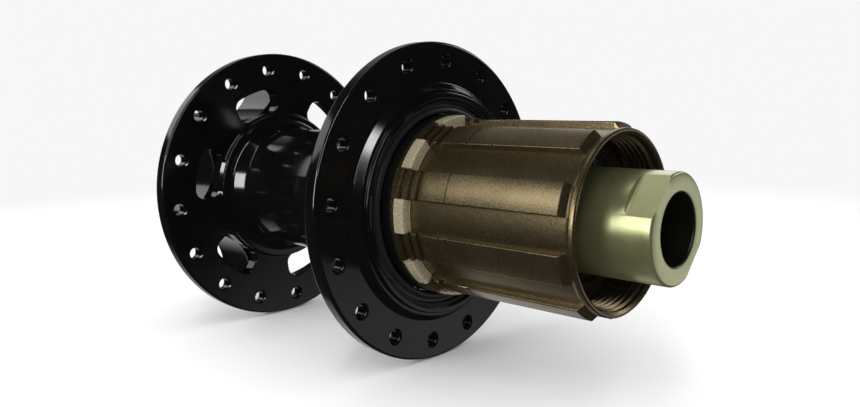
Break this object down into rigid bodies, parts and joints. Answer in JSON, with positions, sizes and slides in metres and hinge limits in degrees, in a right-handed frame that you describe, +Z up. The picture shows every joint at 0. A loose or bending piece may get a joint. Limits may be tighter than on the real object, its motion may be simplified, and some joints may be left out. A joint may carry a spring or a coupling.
{
  "type": "rear bicycle hub",
  "caption": "Rear bicycle hub with a splined cassette body, drilled spoke flanges, a disc rotor mount and push-on thru-axle end caps.",
  "frame": {"origin": "on the axle line, midway between the two dropout faces", "axes": "+Y along the axle line from the drive side to the disc side, +Z up, +X completes the right-handed frame"},
  "size_m": [0.066, 0.142, 0.066],
  "materials": {
    "black_anodised": "gloss black anodised, polished before anodising",
    "black_cap": "gloss black anodised, turned",
    "dark_cover": "satin black",
    "bronze_anodised": "hard anodised, bronze brown",
    "olive_anodised": "satin anodised, pale olive",
    "plain_aluminium": "turned, bare",
    "seal_rubber": "moulded rubber",
    "cage_plastic": "moulded nylon",
    "ball_steel": "polished",
    "spring_steel": "spring temper",
    "hardened_steel": "ground"
  },
  "bodies": {
    "axle": {"axle_tube": "plain_aluminium", "drive_end_cap": "olive_anodised", "disc_end_cap": "black_cap", "drive_cap_oring": "seal_rubber", "disc_cap_oring": "seal_rubber", "freehub_spacer": "plain_aluminium", "carrier_spacer": "plain_aluminium", "freehub_outer_bearing_inner_race": "hardened_steel", "freehub_inner_bearing_inner_race": "hardened_steel", "drive_bearing_inner_race": "hardened_steel", "disc_bearing_inner_race": "hardened_steel"},
    "shell": {"hub_shell": "black_anodised", "ratchet_ring": "hardened_steel", "freehub_seal": "seal_rubber", "disc_dust_cover": "dark_cover", "drive_bearing_outer_race": "hardened_steel", "drive_bearing_seals": "seal_rubber", "disc_bearing_outer_race": "hardened_steel", "disc_bearing_seals": "seal_rubber"},
    "freehub": {"freehub_body": "bronze_anodised", "freehub_snap_ring": "spring_steel", "freehub_outer_bearing_outer_race": "hardened_steel", "freehub_outer_bearing_seals": "seal_rubber", "freehub_inner_bearing_outer_race": "hardened_steel", "freehub_inner_bearing_seals": "seal_rubber", "pawl_spring_1": "spring_steel", "pawl_spring_2": "spring_steel", "pawl_spring_3": "spring_steel"},
    "pawl_1": {"pawl_1": "hardened_steel"},
    "pawl_2": {"pawl_2": "hardened_steel"},
    "pawl_3": {"pawl_3": "hardened_steel"},
    "freehub_outer_bearing_rollers": {"freehub_outer_bearing_balls": "ball_steel", "freehub_outer_bearing_cage": "cage_plastic"},
    "freehub_inner_bearing_rollers": {"freehub_inner_bearing_balls": "ball_steel", "freehub_inner_bearing_cage": "cage_plastic"},
    "drive_bearing_rollers": {"drive_bearing_balls": "ball_steel", "drive_bearing_cage": "cage_plastic"},
    "disc_bearing_rollers": {"disc_bearing_balls": "ball_steel", "disc_bearing_cage": "cage_plastic"}
  },
  "joints": [
    {"name": "hub_spin", "type": "hinge", "parent": "axle", "child": "shell", "pos_m": [0, 0, 0], "axis": [0, 1, 0], "continuous": true},
    {"name": "freewheel", "type": "hinge", "parent": "shell", "child": "freehub", "pos_m": [0, -0.035, 0], "axis": [0, 1, 0], "continuous": true},
    {"name": "pawl_1_rock", "type": "hinge", "parent": "freehub", "child": "pawl_1", "pos_m": [-0.00904, -0.0146, 0.01256], "axis": [0, 1, 0], "range_deg": [0, 10], "stiffness_Nm_per_rad": 0.003, "springref_deg": -20.05, "deforming": ["pawl_spring_1"]},
    {"name": "pawl_2_rock", "type": "hinge", "parent": "freehub", "child": "pawl_2", "pos_m": [-0.00636, -0.0146, -0.01411], "axis": [0, 1, 0], "range_deg": [0, 10], "stiffness_Nm_per_rad": 0.003, "springref_deg": -20.05, "deforming": ["pawl_spring_2"]},
    {"name": "pawl_3_rock", "type": "hinge", "parent": "freehub", "child": "pawl_3", "pos_m": [0.0154, -0.0146, 0.00155], "axis": [0, 1, 0], "range_deg": [0, 10], "stiffness_Nm_per_rad": 0.003, "springref_deg": -20.05, "deforming": ["pawl_spring_3"]},
    {"name": "freehub_outer_bearing_orbit", "type": "hinge", "parent": "axle", "child": "freehub_outer_bearing_rollers", "pos_m": [0, -0.0494, 0], "axis": [0, 1, 0], "continuous": true},
    {"name": "freehub_inner_bearing_orbit", "type": "hinge", "parent": "axle", "child": "freehub_inner_bearing_rollers", "pos_m": [0, -0.0216, 0], "axis": [0, 1, 0], "continuous": true},
    {"name": "drive_bearing_orbit", "type": "hinge", "parent": "axle", "child": "drive_bearing_rollers", "pos_m": [0, -0.0049, 0], "axis": [0, 1, 0], "continuous": true},
    {"name": "disc_bearing_orbit", "type": "hinge", "parent": "axle", "child": "disc_bearing_rollers", "pos_m": [0, 0.047, 0], "axis": [0, 1, 0], "continuous": true}
  ],
  "couplings": [
    {"joint": "freehub_outer_bearing_orbit", "follows": "hub_spin", "ratio": 0.5615},
    {"joint": "freehub_inner_bearing_orbit", "follows": "hub_spin", "ratio": 0.5615},
    {"joint": "drive_bearing_orbit", "follows": "hub_spin", "ratio": 0.5884},
    {"joint": "disc_bearing_orbit", "follows": "hub_spin", "ratio": 0.5884}
  ]
}
